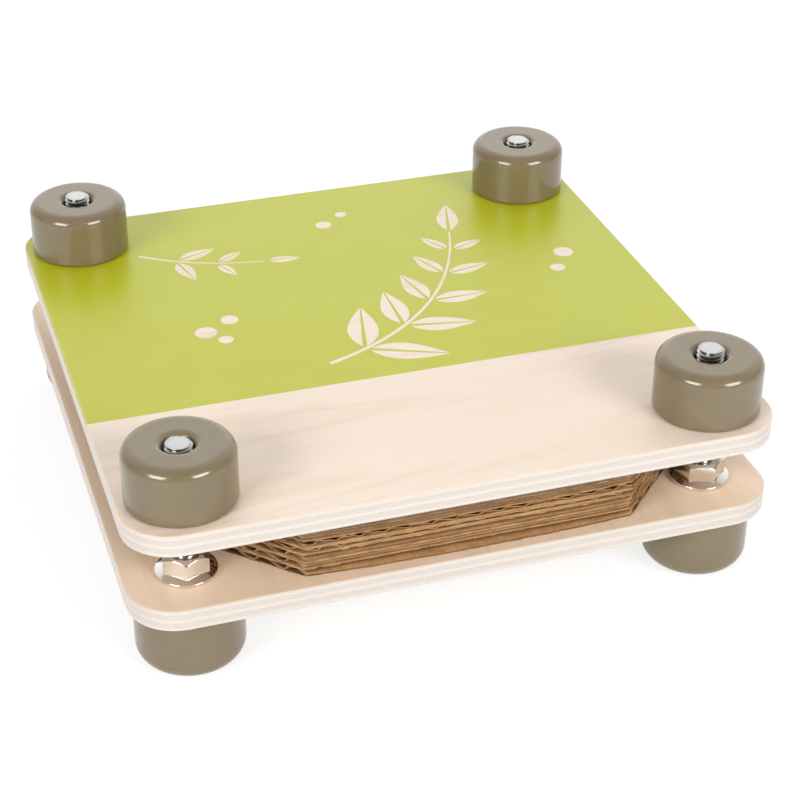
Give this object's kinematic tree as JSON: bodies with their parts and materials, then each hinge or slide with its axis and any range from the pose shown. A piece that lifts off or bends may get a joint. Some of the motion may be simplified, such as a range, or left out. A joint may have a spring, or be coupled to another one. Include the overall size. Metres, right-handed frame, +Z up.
{
  "type": "flower press",
  "caption": "Square plywood flower press: corner bolts with round knobs and feet clamp corrugated card sheets between a printed upper board and a plain lower board.",
  "frame": {"origin": "on the floor plane under the feet, at the middle of the boards", "axes": "+X to the right along the front edge, +Y to the back edge, +Z up along the bolts"},
  "size_m": [0.1948, 0.1948, 0.0727],
  "materials": {
    "plywood": "satin",
    "printed_plywood": "satin",
    "taupe_paint": "gloss",
    "bolt_steel": "satin",
    "nickel_plate": "polished",
    "insert_steel": "satin",
    "corrugated_card": "matte"
  },
  "bodies": {
    "base": {"lower_board": "plywood", "foot_front_left": "taupe_paint", "bolt_front_left": "bolt_steel", "flange_nut_front_left": "nickel_plate", "foot_front_right": "taupe_paint", "bolt_front_right": "bolt_steel", "flange_nut_front_right": "nickel_plate", "foot_rear_left": "taupe_paint", "bolt_rear_left": "bolt_steel", "flange_nut_rear_left": "nickel_plate", "foot_rear_right": "taupe_paint", "bolt_rear_right": "bolt_steel", "flange_nut_rear_right": "nickel_plate"},
    "pressing_board": {"upper_board": "printed_plywood"},
    "front_left_knob": {"knob_front_left": "taupe_paint", "knob_insert_front_left": "insert_steel"},
    "front_right_knob": {"knob_front_right": "taupe_paint", "knob_insert_front_right": "insert_steel"},
    "rear_left_knob": {"knob_rear_left": "taupe_paint", "knob_insert_rear_left": "insert_steel"},
    "rear_right_knob": {"knob_rear_right": "taupe_paint", "knob_insert_rear_right": "insert_steel"},
    "sheet_1": {"card_sheet_1": "corrugated_card"},
    "sheet_2": {"card_sheet_2": "corrugated_card"},
    "sheet_3": {"card_sheet_3": "corrugated_card"},
    "sheet_4": {"card_sheet_4": "corrugated_card"},
    "sheet_5": {"card_sheet_5": "corrugated_card"},
    "sheet_6": {"card_sheet_6": "corrugated_card"},
    "sheet_7": {"card_sheet_7": "corrugated_card"}
  },
  "joints": [
    {"name": "front_left_knob_turn", "type": "hinge", "parent": "pressing_board", "child": "front_left_knob", "pos_m": [-0.079, -0.079, 0.053], "axis": [0, 0, 1], "range_deg": [0, 3456]},
    {"name": "front_right_knob_turn", "type": "hinge", "parent": "pressing_board", "child": "front_right_knob", "pos_m": [0.079, -0.079, 0.053], "axis": [0, 0, 1], "range_deg": [0, 3456]},
    {"name": "rear_left_knob_turn", "type": "hinge", "parent": "pressing_board", "child": "rear_left_knob", "pos_m": [-0.079, 0.079, 0.053], "axis": [0, 0, 1], "range_deg": [0, 3456]},
    {"name": "rear_right_knob_turn", "type": "hinge", "parent": "pressing_board", "child": "rear_right_knob", "pos_m": [0.079, 0.079, 0.053], "axis": [0, 0, 1], "range_deg": [0, 3456]},
    {"name": "board_lift", "type": "slide", "parent": "base", "child": "pressing_board", "axis": [0, 0, 1], "range_m": [0, 0.012]},
    {"name": "sheet_1_lift", "type": "slide", "parent": "base", "child": "sheet_1", "axis": [0, 0, 1], "range_m": [0, 0.0015]},
    {"name": "sheet_2_lift", "type": "slide", "parent": "base", "child": "sheet_2", "axis": [0, 0, 1], "range_m": [0, 0.003]},
    {"name": "sheet_3_lift", "type": "slide", "parent": "base", "child": "sheet_3", "axis": [0, 0, 1], "range_m": [0, 0.0045]},
    {"name": "sheet_4_lift", "type": "slide", "parent": "base", "child": "sheet_4", "axis": [0, 0, 1], "range_m": [0, 0.006]},
    {"name": "sheet_5_lift", "type": "slide", "parent": "base", "child": "sheet_5", "axis": [0, 0, 1], "range_m": [0, 0.0075]},
    {"name": "sheet_6_lift", "type": "slide", "parent": "base", "child": "sheet_6", "axis": [0, 0, 1], "range_m": [0, 0.009]},
    {"name": "sheet_7_lift", "type": "slide", "parent": "base", "child": "sheet_7", "axis": [0, 0, 1], "range_m": [0, 0.0105]}
  ],
  "couplings": [
    {"joint": "front_left_knob_turn", "follows": "board_lift", "rad_per_m": 5026.5},
    {"joint": "front_right_knob_turn", "follows": "board_lift", "rad_per_m": 5026.5},
    {"joint": "rear_left_knob_turn", "follows": "board_lift", "rad_per_m": 5026.5},
    {"joint": "rear_right_knob_turn", "follows": "board_lift", "rad_per_m": 5026.5},
    {"joint": "sheet_1_lift", "follows": "board_lift", "ratio": 0.125},
    {"joint": "sheet_2_lift", "follows": "board_lift", "ratio": 0.25},
    {"joint": "sheet_3_lift", "follows": "board_lift", "ratio": 0.375},
    {"joint": "sheet_4_lift", "follows": "board_lift", "ratio": 0.5},
    {"joint": "sheet_5_lift", "follows": "board_lift", "ratio": 0.625},
    {"joint": "sheet_6_lift", "follows": "board_lift", "ratio": 0.75},
    {"joint": "sheet_7_lift", "follows": "board_lift", "ratio": 0.875}
  ]
}
